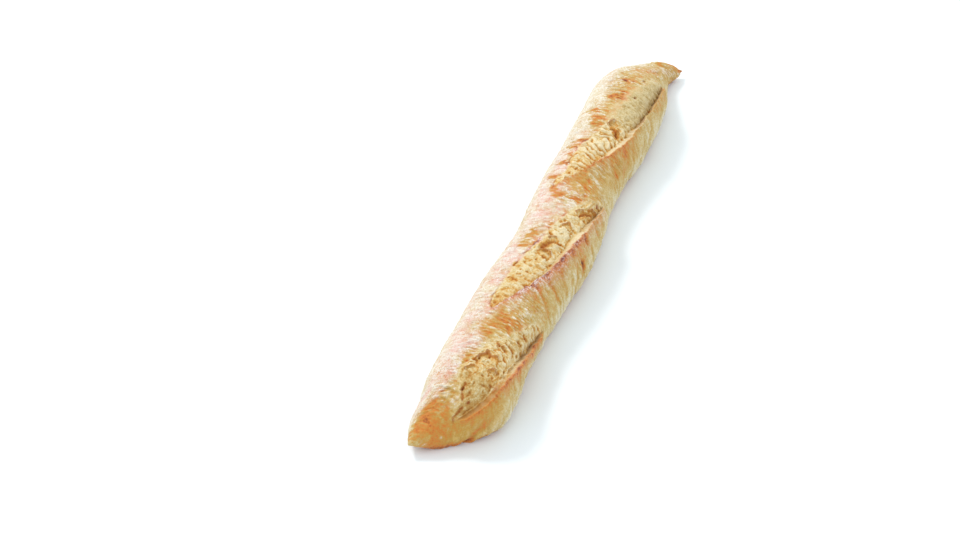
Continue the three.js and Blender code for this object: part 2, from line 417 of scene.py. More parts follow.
def rib_relief(x, t, left, seed):
    """Torn strands that run across the opening. About -1 to 1, 1 on a strand."""
    bend = 0.014 * (t - left) ** 2
    phase = (x + bend) / RIB_SPACING + 1.1 * fractal(x / 13, t / 15, seed=seed)
    phase = phase + 0.35 * noise(x / 4, t / 6, seed=seed + 4)
    strand = 2 * np.abs(np.cos(math.pi * phase)) - 1
    depth = smoothstep(-0.7, 0.5, noise(x / 7, t / 7, seed=seed + 5)) * 1.15
    split = ridged(x / 2.4, t / 8, seed=seed + 6)
    torn = noise(x / 5, t / 5, seed=seed + 7)
    fine = noise((x + bend) / 1.7, t / 6, seed=seed + 8)
    return strand * depth + 0.4 * split * (1.1 - depth) + 0.35 * torn + 0.35 * fine


def lump_relief(x, t, seed):
    """Torn crumb: soft lumps, standing membranes and pits of many sizes. About -1 to 1."""
    bent_x = wobbled(x, (x, t), seed, (1.8, 7), (0.6, 2.4))
    bent_t = wobbled(t, (x, t), seed + 2, (1.8, 7), (0.6, 2.4))
    lumps = noise(bent_x / 5.5, bent_t / 6.5, seed=seed + 4)
    membranes = ridged(bent_x / 4.6, bent_t / 8.5, seed=seed + 5)
    small = ridged(bent_x / 2.2, bent_t / 3, seed=seed + 6)
    near, _, number = cells(bent_x / 4.2, bent_t / 4.2, seed=seed)
    pits = smoothstep(0.5, 0.12, near) * smoothstep(0.68, 0.78, number)
    calm = smoothstep(0.5, -0.3, noise(x / 11, t / 9, seed=seed + 7))
    return 0.7 * lumps + (0.3 + 0.35 * calm) * membranes + (0.18 + 0.3 * calm) * small - 1.2 * pits


# ---------------- one score
def level(score, name, row):
    return np.interp(row, *np.array(score[name], float).T)


def trace_score(score, seed, part):
    """Where a score's trough, wall and crest lie on its stretch of the loaf, and its values at each row."""
    x, t = part["x"], part["t"]
    row = x[:, :1]
    first, last = score["lip"][0][0], score["lip"][-1][0]
    start_taper, end_taper = score["taper"]
    left = along(score["left"], row)
    lip = wobbled(along(score["lip"], row), (row,), seed, (1.2, 11), (0.8, 4))
    width = np.maximum(lip - left, MIN_OPENING)
    wander = wobbled(2.0 * noise(row / 16, seed=seed + 4), (x, t), seed + 2, (2.8, 7), (1.2, 2.8))
    past_left = t + wander * smoothstep(0.9, 0.5, (t - left) / width) - left
    before_lip = lip - t
    wall = np.minimum(level(score, "wall", row) * (1 + 0.2 * noise(row / 7, seed=seed + 6)), 0.6 * width)
    s = SimpleNamespace(part=part, seed=seed, x=x, t=t, row=row, first=first, left=left, wall=wall)
    s.past_left = past_left
    s.before_lip = before_lip
    s.past_lip = t - lip
    s.ends = smoothstep(0, start_taper, row - first) * smoothstep(0, end_taper, last - row)
    s.across = np.clip(past_left / np.maximum(width - wall, 1), 0, 1)
    s.climb = smoothstep(wall, 0, before_lip)
    s.on_floor = smoothstep(-1.5, 2.5, past_left) * smoothstep(0.4 * wall, 1.4 * wall, before_lip)
    s.strands = smoothstep(0, 0.5, noise(x / 2.6 + t / 12, t / 9, seed=seed + 36))
    for name in ("overhang", "ribs", "dull", "toast", "ochre", "depth", "tan"):
        setattr(s, name, level(score, name, row))
    s.toast = s.toast * (0.9 + 0.35 * noise(row / 9, seed=seed + 5))
    s.rough = LUMP_HEIGHT * (1 - level(score, "smooth", row))
    s.rosy = score["rosy"]
    s.fade = score["fade"]
    return s


def torn_relief(s):
    """Relief of the torn dough on the floor of the trough, in mm."""
    ribs = s.ribs * RIB_HEIGHT * rib_relief(s.x, s.t, s.left, s.seed + 9)
    relief = ribs + (1 - s.ribs) * s.rough * lump_relief(s.x, s.t, s.seed + 16)
    fine = ridged(s.x / 2.3 - s.t / 16, s.t / 13, seed=s.seed + 24)
    return relief * (1 - 0.65 * s.dull) + 0.28 * s.dull * fine


def shape_score(s, relief):
    """Cut the trough and raise the lip, whose outer side fades into the crust."""
    x, t, seed, climb = s.x, s.t, s.seed, s.climb
    floor = -s.depth * (0.25 * s.across + 0.75 * s.across ** 3)
    floor = floor * (1 - 0.6 * s.overhang * s.strands * smoothstep(0.5, 0.9, s.across))
    crest = CREST_RISE * wobbled(1, (s.row,), seed + 7, (0.34, 12), (0.2, 4.5))
    fold = 0.3 * noise(x / 2.6, t / 7, seed=seed + 25)
    fold = fold * smoothstep(0.1, 0.5, climb) * smoothstep(1.0, 0.8, climb)
    inside = floor * (1 - climb) + crest * climb + relief * s.on_floor + fold
    outer = crest * np.exp(-((np.maximum(s.past_lip, 0) / LIP_FOOT) ** 1.3))
    torn = np.exp(-((np.minimum(s.past_left, 0) / 2.4) ** 2))
    torn = torn * (0.25 + 0.5 * noise(x / 5, t / 5, seed=seed + 26))
    height = np.where(s.past_lip >= 0, outer, np.where(s.past_left > 0, inside + torn, torn))
    s.part["height"] += height * s.ends


def lean_lip(s):
    """Draw the crest back over the trough and the wall under it away from it."""
    near_crest = np.exp(-((s.before_lip / 1.8) ** 2))
    under_lip = np.exp(-(((s.before_lip - s.wall) / (0.5 * s.wall + 0.5)) ** 2))
    hooked = UNDERCUT * under_lip - OVERHANG * near_crest
    s.part["lean"] += (s.overhang * hooked + (1 - s.overhang) * 0.6 * near_crest) * s.ends


def colour_crumb(s, relief):
    """Masks of the torn dough, its dull part, its valleys with toast and painted shade, the golden wall,
    and the painted shade in the gap under a lip.
    """
    x, t, seed, part = s.x, s.t, s.seed, s.part
    speck = noise(x / 1.5, t / 1.5, seed=seed + 27)
    soft = 1 + 2.6 * s.dull * smoothstep(s.first + 60, s.first + 90, s.row)
    flaps = 2.2 * noise(x / 4.5, t / 6, seed=seed + 37) * smoothstep(0.6, 0.2, s.across)
    crumb = smoothstep(-2.0 * soft, 2.2 * soft, s.past_left + 0.9 * speck + flaps)
    crumb = crumb * smoothstep(-0.4, 0.4, s.before_lip - 1.0)
    crumb = crumb * smoothstep(0, 0.3, s.ends)
    raise_to(part, "crumb", crumb)
    greyish = smoothstep(-4, 1, s.past_left) * smoothstep(0, 1.5, s.before_lip - 0.8 * s.wall)
    raise_to(part, "dull", s.dull * crumb * greyish)
    # Painted shade: the crumb darkens where its relief is low and at the foot of the lip's wall; s.tan adds
    # real toast.
    foot = np.exp(-(((s.before_lip - s.wall) / 1.6) ** 2))
    foot = foot * (0.6 + 0.5 * noise(x / 3, t / 5, seed=seed + 28))
    valley_toast_and_shade = (0.3 + 0.4 * s.tan - (0.5 - 0.18 * s.ribs) * relief) * s.on_floor + 0.4 * foot
    raise_to(part, "valley_toast_and_shade", np.clip(valley_toast_and_shade, 0, 1) * crumb)
    streak = 0.5 + 0.5 * noise(x / 3, t / 5, seed=seed + 29)
    ochre = s.ochre * smoothstep(0, 0.15, s.climb)
    raise_to(part, "wall", ochre * smoothstep(0, 0.1, crumb) * (0.72 + 0.3 * streak))
    # Painted shade in the gap under an overhanging lip, broken where strands cross it.
    jagged = s.wall * (1.1 + 0.5 * noise(x / 2.2, t / 8, seed=seed + 30))
    gap = smoothstep(jagged + 1.2, jagged - 0.6, s.before_lip) * smoothstep(0.2, 0.9, s.before_lip)
    raise_to(part, "painted_crevice_shade", s.overhang * gap * crumb * (1 - 0.75 * s.strands) * (0.75 + 0.25 * streak))


def colour_crest(s):
    """Brown the crest and the top of its outer side, pink and specked with flour where it is rosy."""
    x, t, seed, row, part = s.x, s.t, s.seed, s.row, s.part
    fade = s.fade + 2.6 * noise(row / 6, seed=seed + 31) + 1.6 * noise(x / 3, t / 8, seed=seed + 32)
    blush = np.exp(-((np.maximum(s.past_lip, 0) / np.maximum(fade, 1)) ** 1.2))
    blush = blush * smoothstep(-1.4, -0.6, s.past_lip)
    line = np.exp(-(((s.past_lip - 0.2) / 2.0) ** 2)) * (0.8 + 0.45 * noise(row / 3.5, seed=seed + 33))
    crest_bake = (0.22 + 0.1 * s.rosy) * blush + (0.11 + 0.05 * s.rosy) * line
    part["bake_and_shade"] += s.toast * crest_bake * smoothstep(0, 0.5, s.ends)
    part["flour"] -= 1.2 * blush * s.toast * (1 - s.rosy)
    raise_to(part, "rose", np.clip(1.3 * blush, 0, 1) * s.rosy * s.toast * s.ends)
    specks = smoothstep(0, 0.5, noise(x / 1.8, t / 1.8, seed=seed + 34))
    part["flour"] += 0.9 * blush * s.rosy * s.toast * s.ends * specks


def open_scores(grid):
    for number, score in enumerate(SCORES):
        part = stretch(grid, score["lip"][0][0], score["lip"][-1][0])
        s = trace_score(score, 20 + 40 * number, part)
        relief = torn_relief(s)
        shape_score(s, relief)
        lean_lip(s)
        colour_crumb(s, relief)
        colour_crest(s)


# ---------------- bubbles, holes, lines and dents
def burst_bubbles(grid):
    """Bowls with a raised rim, browned under the rim on one side, and darkened inside with painted shade.
    """
    for number, (centre_x, centre_t, radius, depth, turn) in enumerate(BUBBLES):
        p = stretch(grid, centre_x - 2.2 * radius, centre_x + 2.2 * radius)
        x, t, crumb = p["x"], p["t"], p["crumb"]
        wave = (0.5, 0.9 * radius)
        off_x = wobbled((x - centre_x) / radius, (x, t), 200 + number, wave)
        off_t = wobbled((t - centre_t) / radius, (x, t), 230 + number, wave)
        r = np.hypot(off_x, off_t)
        side = math.radians(turn)
        facing = (math.cos(side) * off_x + math.sin(side) * off_t) / np.maximum(r, 0.3)
        rim = np.exp(-(((r - 1.05) * radius) ** 2)) * smoothstep(0, 0.9, facing)
        steep = smoothstep(1.0, 1 - 1.2 / radius - 0.35 * (1 - facing), r)
        bowl = 0.7 * depth * steep * (0.6 + 0.4 * facing) * (0.4 + 0.6 * r)
        p["height"] += (1.1 * rim - bowl) * crumb
        lit = smoothstep(1.12, 1.02, r) * smoothstep(-0.3, 0.6, facing) * crumb
        raise_to(p, "scorch_and_shade", 0.75 * smoothstep(0.8, 0.92, r) * lit)
        # Painted shade in the bowl, darker towards its wall, with the raised rim kept lighter.
        brown = (0.25 + 0.35 * smoothstep(0.4, 0.85, r)) * smoothstep(1.02, 0.94, r)
        raise_to(p, "valley_toast_and_shade", brown * crumb)
        p["valley_toast_and_shade"] *= 1 - 0.4 * rim


def pierce_holes(grid):
    for centre_x, centre_t, radius, depth in HOLES:
        p = stretch(grid, centre_x - 2 * radius, centre_x + 2 * radius)
        hole = smoothstep(1.2, 0.4, np.hypot(p["x"] - centre_x, p["t"] - centre_t) / radius)
        p["height"] -= depth * hole
        # Painted shade: the hole is filled with the dark browned colour.
        raise_to(p, "scorch_and_shade", hole)


def near_line(x, t, points):
    """Distance to a line of points, and how full the line is: 1 along it and 0.25 at its ends."""
    nearest = np.full(x.shape, 99.0, np.float32)
    place = np.zeros(x.shape, np.float32)
    for number, ((x0, t0), (x1, t1)) in enumerate(itertools.pairwise(points)):
        length = math.hypot(x1 - x0, t1 - t0)
        share = np.clip(((x - x0) * (x1 - x0) + (t - t0) * (t1 - t0)) / length ** 2, 0, 1)
        distance = np.hypot(x - x0 - share * (x1 - x0), t - t0 - share * (t1 - t0))
        closer = distance < nearest
        nearest = np.where(closer, distance, nearest)
        place = np.where(closer, (number + share) / (len(points) - 1), place)
    full = smoothstep(0, 0.22, place) * smoothstep(1, 0.78, place)
    return nearest, 0.25 + 0.75 * full


def draw_lines(grid):
    for number, (kind, half_width, height, points) in enumerate(LINES):
        xs = [point[0] for point in points]
        p = stretch(grid, min(xs) - 5, max(xs) + 5)
        x, t = p["x"], p["t"]
        bent_x = wobbled(x, (x, t), 260 + number, (1.0, 4), (0.4, 1.4))
        bent_t = wobbled(t, (x, t), 300 + number, (1.0, 4), (0.4, 1.4))
        distance, full = near_line(bent_x, bent_t, points)
        uneven = 0.85 + 0.45 * noise(x / 3, t / 3, seed=340 + number)
        near = np.exp(-((distance / half_width) ** 2)) * full * uneven
        wide = np.exp(-((distance / (2.6 * half_width)) ** 2)) * full
        p["height"] += height * near
        if kind == "ridge":
            # Painted shade along the foot of the membrane; its crest is kept lighter.
            p["valley_toast_and_shade"] *= 1 - 0.9 * np.clip(near, 0, 1)
            raise_to(p, "valley_toast_and_shade", 0.62 * (wide - near) * p["crumb"])
        elif kind == "tear":
            # The slit is browned, with painted shade in it and around it.
            raise_to(p, "scorch_and_shade", 0.8 * smoothstep(0.15, 0.9, near))
            raise_to(p, "valley_toast_and_shade", 0.7 * wide * p["crumb"])
        else:
            p["bake_and_shade"] += (0.5 * near + 0.2 * wide) * smoothstep(-0.4, 0.4, noise(x / 9, t / 9, seed=346))
            raise_to(p, "rose", 0.9 * wide)


def press_dents(grid):
    """Slanting dents in the crust, each with a swelling beside it, darkened and golden inside with painted
    shade.
    """
    for centre_x, centre_t, half_t, half_x, depth in DENTS:
        p = stretch(grid, centre_x - 18, centre_x + 18)
        x = p["x"] + 0.3 * (p["t"] - centre_t) + 1.2 * noise(p["x"] / 6, p["t"] / 9, seed=380)
        dent = blob(x, p["t"], centre_x, centre_t, half_x, half_t)
        beside = blob(x, p["t"], centre_x + 2.2 * half_x, centre_t, half_x, half_t)
        p["height"] += 1.3 * depth * (0.4 * beside - dent) * smoothstep(0.4, 0.0, p["crumb"])
        # Painted shade in the dent: darker and more golden inside.
        p["bake_and_shade"] += 0.2 * depth * dent
        raise_to(p, "gold", 0.5 * dent)


# ---------------- the crust
def layered(x, t, warp, layers):
    """Sum of noise layers, whose lines bend with the warp."""
    total = 0.0
    for height, length_x, length_t, share, seed in layers:
        total = total + height * noise(x / length_x + share * warp, t / length_t, seed=seed)
    return total


def wrinkle_crust(grid):
    """Fine wrinkles across the top, and pleats and striations down both flanks."""
    x, t = grid["x"], grid["t"]
    crust = 1 - grid["crumb"]
    right = smoothstep(24, 46, t + 5 * noise(x / 26, t / 40, seed=400))
    left = smoothstep(-36, -52, t + 5 * noise(x / 22, t / 30, seed=412))
    flank = right + left
    belly = smoothstep(0.99, 0.8, np.abs(t) / grid["girth"]) * (1 - 0.5 * smoothstep(-18, -36, t))
    warp = 1.6 * fractal(x / 15, t / 15, seed=401)
    wrinkle = layered(x, t, warp, WRINKLES)
    striation = layered(x, t, warp, STRIATIONS)
    patch = smoothstep(-0.5, 0.5, noise(x / 24, t / 17, seed=407))
    slanted = x + 0.35 * (t - 30)
    pleat = ridged(slanted / 10 + 0.3 * warp, t / 30, seed=410)
    high_pleat = 1.15 * pleat * smoothstep(80, 45, np.abs(t))
    wrinkle = wrinkle * (0.35 + 0.65 * smoothstep(14, 34, x))
    grid["height"] += crust * (1 - flank) * belly * wrinkle * (0.48 + 0.6 * patch)
    grid["height"] += crust * flank * belly * (0.8 * striation + high_pleat)
    grid["wrinkle"] = wrinkle * crust * (1 - flank)
    grid["striation"] = (0.8 * striation + 0.7 * pleat) * crust * flank
    grid["flank"] = flank


def swell_body(grid, place):
    """Broad swellings of the whole body, off its base, and the thicker beak of the far tip."""
    x, y, z = np.moveaxis(place, -1, 0)
    off_base = smoothstep(0, 10, z)
    grid["height"] += off_base * 1.0 * noise(x / 42, y / 42, z / 42, seed=320)
    grid["height"] += off_base * 0.6 * fractal(x / 15, y / 15, z / 15, seed=321)
    grid["height"] += BEAK_SWELL * np.exp(-(((grid["x"] - BEAK_AT) / BEAK_REACH) ** 2))


def mark_zones(grid, place):
    """How far a point is on the base and on the browned edge just over it, and a wavy t down the left."""
    x, t, z = grid["x"], grid["t"], place[..., 2]
    grid["under"] = smoothstep(1.6, 0.0, z)
    grid["low_edge"] = np.exp(-(((z - 2.5) / 3.5) ** 2))
    grid["down_left"] = t + 9 * fractal(x / 24, t / 16, seed=438)


def bake_crust(grid):
    """How brown the crust is: darker on the right shoulder with painted shade, browner on the left shoulder
    and towards the base, with painted shade in the low parts of the pleats, and darker where the wrinkles
    are low.
    """
    x, t, under, low_edge = grid["x"], grid["t"], grid["under"], grid["low_edge"]
    mottle = 0.15 * (1 - 0.6 * smoothstep(8, 26, t)) * fractal(x / 7, t / 5, seed=433)
    bake_and_shade = 0.25 + 0.18 * fractal(x / 30, t / 24, seed=430) + mottle
    # Painted shade on the right side of the top, which turns away from the light, starting nearer the top
    # on the far part; the left side is really browned.
    earlier = 11 * smoothstep(380, 420, x)
    right = smoothstep(6 - earlier, 24 - earlier, t) * smoothstep(52, 38, t)
    left = 2.5 * smoothstep(-26, -60, grid["down_left"]) * smoothstep(-98, -80, grid["down_left"])
    shoulder = right + left
    # Painted shade in the low parts of the pleats and striations; the crust is also darker where the
    # wrinkles are low.
    bake_and_shade += 0.1 * shoulder - 0.19 * grid["striation"] - 0.17 * grid["wrinkle"] * (1 - grid["flank"])
    bake_and_shade += low_edge * (0.5 + 0.15 * noise(x[:, :1] / 12, seed=436)) + 0.3 * under
    bake_and_shade += 0.14 * under * fractal(x / 7, t / 7, seed=437)
    grid["bake_and_shade"] += bake_and_shade


def gild_crust(grid):
    """Golden stretches, which are paler down the right flank."""
    for centre_x, centre_t, half_x, half_t, strength in GOLDEN:
        p = stretch(grid, centre_x - 3 * half_x, centre_x + 3 * half_x)
        mask = blob(p["x"], p["t"], centre_x, centre_t, half_x, half_t)
        ragged = mask + 0.3 * fractal(p["x"] / 9, p["t"] / 9, seed=470)
        raise_to(p, "gold", strength * smoothstep(0.1, 0.8, ragged))
    grid["bake_and_shade"] -= 0.12 * grid["gold"] * smoothstep(16, 30, grid["t"])


def blush_crust(grid):
    """Pink on the top and left, mostly on the near half, and a browner, less floury top beyond it. Down the
    left side the crust is painted paler as highlight, where the light falls.
    """
    x, t, low_edge = grid["x"], grid["t"], grid["low_edge"]
    grid["rose"] *= 1 - low_edge
    pink = smoothstep(26, -4, t + 6 * noise(x / 18, t / 18, seed=465))
    # Pink fades out down the left side, which is painted paler as highlight.
    pink = pink * smoothstep(-44, -22, t + 5 * noise(x / 14, t / 14, seed=467))
    pink = pink * smoothstep(-0.6, 0.4, fractal(x / 22, t / 14, seed=466)) * (0.8 - 0.5 * grid["wrinkle"])
    pink = pink * smoothstep(8, 30, x) * (1 - 0.75 * smoothstep(310, 400, x)) * (1 - low_edge)
    pink = np.clip(pink, 0, 1) * (1 - grid["crumb"]) * (1 - grid["under"]) * (1 - grid["gold"])
    raise_to(grid, "rose", pink)
    # Painted highlight: the left side, towards the light, is paler.
    left_highlight = smoothstep(-20, -34, t) * smoothstep(-52, -38, t)
    far_top = smoothstep(340, 380, x) * smoothstep(505, 480, x) * np.exp(-(((t - 3) / 14) ** 2))
    pale_end = smoothstep(310, 390, x) * (1 - low_edge)
    grid["bake_and_shade"] += 0.14 * far_top - 0.05 * left_highlight - 0.05 * pale_end
    grid["flour"] -= 0.4 * far_top


def spot_crust(grid):
    """Browned patches with ragged edges, less pink, more golden and without flour."""
    for number, (centre_x, centre_t, half_x, half_t, strength) in enumerate(BLOTCHES):
        p = stretch(grid, centre_x - 3 * half_x, centre_x + 3 * half_x)
        mask = blob(p["x"], p["t"], centre_x, centre_t, half_x * 1.3, half_t * 1.3)
        mask = mask * (1 + 1.1 * noise(p["x"] / 2.2, p["t"] / 6, seed=440 + number) - 0.3 * p["wrinkle"])
        patch = smoothstep(0.05, 1.2, mask)
        p["bake_and_shade"] += strength * patch
        p["rose"] *= 1 - 0.8 * patch
        raise_to(p, "gold", 0.9 * patch)
        p["flour"] -= 1.1 * patch


def dust_crust(grid):
    """Flour: in drifts over the top, evenly down its left side, where it also stands in for painted
    highlight, and in traces on the base.
    """
    x, t, streak, gold = grid["x"], grid["t"], grid["wrinkle"], grid["gold"]
    dust = 0.6 * fractal(x / 22, t / 16, seed=460) + 0.35 * streak + 0.6 * noise(x / 1.8, t / 2.6, seed=462)
    flour = smoothstep(0, 0.5, dust) * (1 - 0.9 * grid["flank"]) * (1 - 0.5 * gold)
    flour *= 1 - 0.6 * smoothstep(14, 30, t)
    # Flour down the left side, which also stands in for painted highlight there.
    left_flour_and_highlight = smoothstep(4, -18, t) * smoothstep(-60, -32, grid["down_left"])
    flour += left_flour_and_highlight * (0.64 + 0.22 * streak) * (1 - gold)
    flour += 0.4 * smoothstep(0, 0.8, dust) * grid["under"]
    grid["flour"] = np.clip(grid["flour"] + flour, 0, 1) * (1 - grid["crumb"])


def loaf_fields(place, x, t, girth):
    """Relief, lean and masks at every point of the loaf."""
    grid = {"x": x, "t": t, "girth": girth}
    for name in ("height", "lean", *MASKS):
        grid[name] = np.zeros_like(x)
    open_scores(grid)
    burst_bubbles(grid)
    pierce_holes(grid)
    draw_lines(grid)
    press_dents(grid)
    wrinkle_crust(grid)
    swell_body(grid, place)
    mark_zones(grid, place)
    bake_crust(grid)
    gild_crust(grid)
    blush_crust(grid)
    spot_crust(grid)
    dust_crust(grid)
    return grid


def pinch_tips(place, x, length):
    """The near tip is drawn out to the left, and the far tip's beak bends down to the right."""
    near = smoothstep(NEAR_TIP, 0, x)[..., None] ** 2
    far = smoothstep(length - FAR_TIP, length, x)[..., None]
    return place + near * np.array(NEAR_PULL) + far * np.array(FAR_PULL)


# ---------------- mesh
def grid_faces():
    row = np.arange(ROWS - 1)[:, None]
    column = np.arange(COLUMNS)[None]
    here = row * COLUMNS + column
    beside = row * COLUMNS + (column + 1) % COLUMNS
    faces = np.stack([here, beside, beside + COLUMNS, here + COLUMNS], -1)
    return faces.reshape(-1, 4)


def lay_out(mesh):
    """A map for baking: two strips, one for each half of the length, with the seam on the underside."""
    half = (ROWS - 1) // 2
    row, column = np.divmod(np.arange((ROWS - 1) * COLUMNS), COLUMNS)
    strip = (row > half).astype(int)
    rows_in = np.where(strip, ROWS - 2 - half, half + 1)
    u = (row - strip * (half + 1))[:, None] + np.array((0, 0, 1, 1))
    v = column[:, None] + np.array((0, 1, 1, 0))
    u = MAP_MARGIN + (1 - 2 * MAP_MARGIN) * u / rows_in[:, None]
    v = 0.5 * strip[:, None] + MAP_MARGIN + (0.5 - 2 * MAP_MARGIN) * v / COLUMNS
    turn = np.arange(COLUMNS) * 2 * math.pi / COLUMNS
    ring = np.stack([np.cos(turn), np.sin(turn)], -1) * CAP_SIZE
    caps = [ring + (x, 0.5) for x in (0.25, 0.75)]
    spots = np.concatenate([np.stack([u, v], -1).reshape(-1, 2), *caps])
    mesh.uv_layers.new(name="OFBake").data.foreach_set("uv", spots.astype(np.float32).ravel())


def shape_loaf():
    """Places of all points of the loaf, in mm, and the grid of its masks."""
    low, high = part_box("loaf")
    length = (high.x - low.x) / MM
    place, x, t, girth = smooth_body(length)
    place[..., 0] += low.x / MM
    place[..., 1] += high.y / MM - place[..., 1].max()
    normal, tangent = directions(place)
    grid = loaf_fields(place, *(values.astype(np.float32) for values in (x, t, girth)))
    fade = smoothstep(0, CALM_END, np.minimum(x, length - x))[..., None]
    place = place + fade * (normal * grid["height"][..., None] + tangent * grid["lean"][..., None])
    place = pinch_tips(place, x, length)
    place[..., 2] = np.maximum(place[..., 2], 0)
    return place, grid


def build_loaf():
    place, grid = shape_loaf()
    mesh = bpy.data.meshes.new("loaf")
    last_row = (ROWS - 1) * COLUMNS
    caps = [list(range(COLUMNS))[::-1], list(range(last_row, last_row + COLUMNS))]
    mesh.from_pydata((place * MM).reshape(-1, 3).tolist(), [], grid_faces().tolist() + caps)
    mesh.shade_smooth()
    lay_out(mesh)
    for name in MASKS:
        layer = mesh.attributes.new(name, "FLOAT", "POINT")
        layer.data.foreach_set("value", np.clip(grid[name], 0, 1).astype(np.float32).ravel())
    loaf = bpy.data.objects.new("loaf_crust", mesh)
    bpy.context.collection.objects.link(loaf)
    return loaf


# ---------------- material
# Colours are 0 to 255 display values. Noise textures are scale per metre, detail and roughness.
FLOUR = (236, 230, 226)
OCHRE = (160, 100, 12)
# Browned crumb, also used as painted shade in holes and slits.
SCORCH_AND_SHADE = (164, 84, 24)
# Painted shade in the gap under an overhanging lip.
PAINTED_CREVICE_SHADE = (140, 88, 30)
FLOOR = (238, 243, 246)
FLOUR_COVER = 0.88
STAIN_AND_SHADE_COVER = 0.85
GRAIN = (700.0, 4.0, 0.65)
SPECKLE = (1300.0, 2.0, 0.5)
STREAKS = (480.0, 3.0, 0.6)
STREAK_STRETCH = (1.3, 0.35, 0.35)  # the streaks run across the loaf
BUMP_STRENGTH = 0.9
BUMP_DISTANCE = 0.0007


def grey(value):
    return (value, value, value, 1.0)


def linear(red, green, blue):
    """A colour given as 0 to 255 display values."""
    values = []
    for channel in (red, green, blue):
        value = channel / 255
        values.append(value / 12.92 if value <= 0.04045 else ((value + 0.055) / 1.055) ** 2.4)
    return (*values, 1.0)


class Nodes:
    """Short calls for the nodes of one material. Most return the node's output socket."""

    def __init__(self, material):
        material.use_nodes = True
        self.tree = material.node_tree
        self.shader = self.tree.nodes["Principled BSDF"]

    def link(self, value, socket):
        if isinstance(value, bpy.types.NodeSocket):
            self.tree.links.new(value, socket)
        else:
            socket.default_value = value

    def mask(self, name):
        node = self.tree.nodes.new("ShaderNodeAttribute")
        node.attribute_name = name
        return node.outputs["Fac"]

    def noise(self, texture, vector):
        """Noise over a vector. The texture is its scale, detail and roughness."""
        node = self.tree.nodes.new("ShaderNodeTexNoise")
        for name, value in zip(("Scale", "Detail", "Roughness"), texture):
            self.link(value, node.inputs[name])
        self.link(vector, node.inputs["Vector"])
        return node.outputs["Fac"]

    def colours(self, value, *stops):
        """A colour for the value, between stops of a position and a colour's display values."""
        return self.ramp(value, *((position, linear(*colour)) for position, *colour in stops))

    def ramp(self, value, *stops):
        node = self.tree.nodes.new("ShaderNodeValToRGB")
        elements = node.color_ramp.elements
        while len(elements) < len(stops):
            elements.new(0.5)
        for element, (position, colour) in zip(elements, stops):
            element.position = position
            element.color = colour
        self.link(value, node.inputs["Fac"])
        return node.outputs["Color"]

    def math(self, operation, a, b):
        node = self.tree.nodes.new("ShaderNodeMath")
        node.operation = operation
        self.link(a, node.inputs[0])
        self.link(b, node.inputs[1])
        return node.outputs[0]

    def mix(self, factor, a, b):
        """Colour a where the factor is 0, and b where it is 1."""
        node = self.tree.nodes.new("ShaderNodeMix")
        node.data_type = "RGBA"
        self.link(factor, node.inputs[0])
        self.link(a, node.inputs[6])
        self.link(b, node.inputs[7])
        return node.outputs[2]

    def waver(self, value, noise, amount):
        """The value with a noise about 0.5 added to it."""
        return self.math("ADD", value, self.math("MULTIPLY", self.math("SUBTRACT", noise, 0.5), amount))

    def scaled(self, vector, scale):
        node = self.tree.nodes.new("ShaderNodeVectorMath")
        node.operation = "MULTIPLY"
        self.link(vector, node.inputs[0])
        self.link(scale, node.inputs[1])
        return node.outputs[0]

    def position(self):
        return self.tree.nodes.new("ShaderNodeTexCoord").outputs["Object"]


def crust_colour(nodes, grain, streaks):
    """Colour of the bare crust from pale to scorched, plain, pink or golden; its darker end also carries
    painted shade.
    """
    bake_and_shade = nodes.waver(nodes.mask("bake_and_shade"), grain, 0.8)
    bake_and_shade = nodes.waver(bake_and_shade, streaks, 0.3)
    plain = nodes.colours(
        bake_and_shade,
        (0.0, 216, 207, 182),
        (0.2, 204, 185, 134),
        (0.36, 190, 158, 88),
        (0.5, 194, 142, 66),
        (0.64, 202, 122, 46),
        (0.82, 158, 80, 28),
        (1.0, 92, 42, 20),
    )
    rose = nodes.colours(
        bake_and_shade,
        (0.0, 212, 196, 186),
        (0.25, 210, 164, 144),
        (0.5, 206, 126, 84),
        (1.0, 116, 52, 40),
    )
    golden = nodes.colours(
        bake_and_shade,
        (0.0, 206, 170, 92),
        (0.3, 184, 141, 56),
        (0.6, 198, 114, 32),
        (1.0, 112, 50, 18),
    )
    colour = nodes.mix(nodes.mask("rose"), plain, rose)
    return nodes.mix(nodes.mask("gold"), colour, golden)


def crumb_colour(nodes, grain):
    """Colour of the torn dough, from cream on its ridges to brown in its valleys, where toast and painted
    shade darken it.
    """
    valley_toast_and_shade = nodes.waver(nodes.mask("valley_toast_and_shade"), grain, 1.2)
    colour = nodes.colours(
        valley_toast_and_shade,
        (0.0, 224, 208, 170),
        (0.25, 214, 187, 130),
        (0.5, 204, 152, 72),
        (0.8, 188, 112, 30),
        (1.0, 142, 82, 30),
    )
    colour = nodes.mix(nodes.mask("wall"), colour, linear(*OCHRE))
    dull = nodes.colours(
        valley_toast_and_shade,
        (0.1, 198, 180, 134),
        (0.4, 170, 147, 94),
        (0.8, 130, 100, 50),
    )
    return nodes.mix(nodes.math("MULTIPLY", nodes.mask("dull"), STAIN_AND_SHADE_COVER), colour, dull)


def dusted(nodes, crust, position):
    """The crust's colour with flour on it, in fine specks."""
    speckle = nodes.noise(SPECKLE, position)
    specks = nodes.ramp(speckle, (0.36, grey(0.0)), (0.62, grey(1.0)))
    flour = nodes.math("MULTIPLY", nodes.mask("flour"), specks)
    return nodes.mix(nodes.math("MULTIPLY", flour, FLOUR_COVER), crust, linear(*FLOUR))


